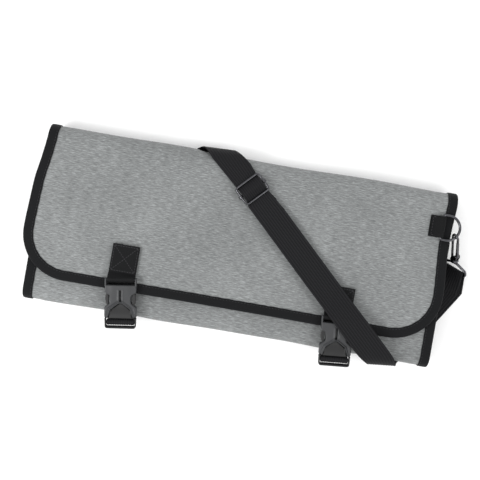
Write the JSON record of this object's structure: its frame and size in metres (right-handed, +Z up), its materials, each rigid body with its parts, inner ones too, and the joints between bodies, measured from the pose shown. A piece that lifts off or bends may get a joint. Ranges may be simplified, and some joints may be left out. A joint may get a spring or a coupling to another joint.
{
  "type": "chef knife roll",
  "caption": "Closed padded cloth roll for kitchen knives, with a bound edge, two side-release buckles and a webbing shoulder strap on a snap hook.",
  "frame": {"origin": "middle of the bounding box on X and Y, on the floor that the closed roll lies on", "axes": "+X along the roll to the end with the visible ring, +Y across it to the top fold, +Z up out of its front flap"},
  "size_m": [0.4906, 0.2158, 0.0539],
  "materials": {
    "grey_oxford_cloth": "heathered oxford weave",
    "black_tape": "ribbed binding tape",
    "black_webbing": "ribbed webbing",
    "black_plastic": "moulded satin",
    "dark_nickel": "black nickel plate"
  },
  "bodies": {
    "bag": {"case_panel": "grey_oxford_cloth", "edge_binding": "black_tape", "left_buckle_tab": "black_webbing", "left_buckle_socket": "black_plastic", "left_buckle_plug": "black_plastic", "left_buckle_strap": "black_webbing", "right_buckle_tab": "black_webbing", "right_buckle_socket": "black_plastic", "right_buckle_plug": "black_plastic", "right_buckle_strap": "black_webbing", "shoulder_strap": "black_webbing", "slider_frame": "dark_nickel", "slider_bar": "dark_nickel", "front_ring_tab": "black_webbing", "front_ring": "dark_nickel", "front_hook": "dark_nickel", "front_hook_eye": "dark_nickel", "rear_ring_tab": "black_webbing", "rear_ring": "dark_nickel", "rear_hook": "dark_nickel"},
    "hook_gate": {"front_hook_gate": "dark_nickel"}
  },
  "joints": [
    {"name": "front_hook_gate_hinge", "type": "hinge", "parent": "bag", "child": "hook_gate", "pos_m": [0.22622, 0.03415, 0.03024], "axis": [-0.8069, -0.5176, 0.2846], "range_deg": [0, 14], "stiffness_Nm_per_rad": 0.02, "springref_deg": -14.32}
  ]
}
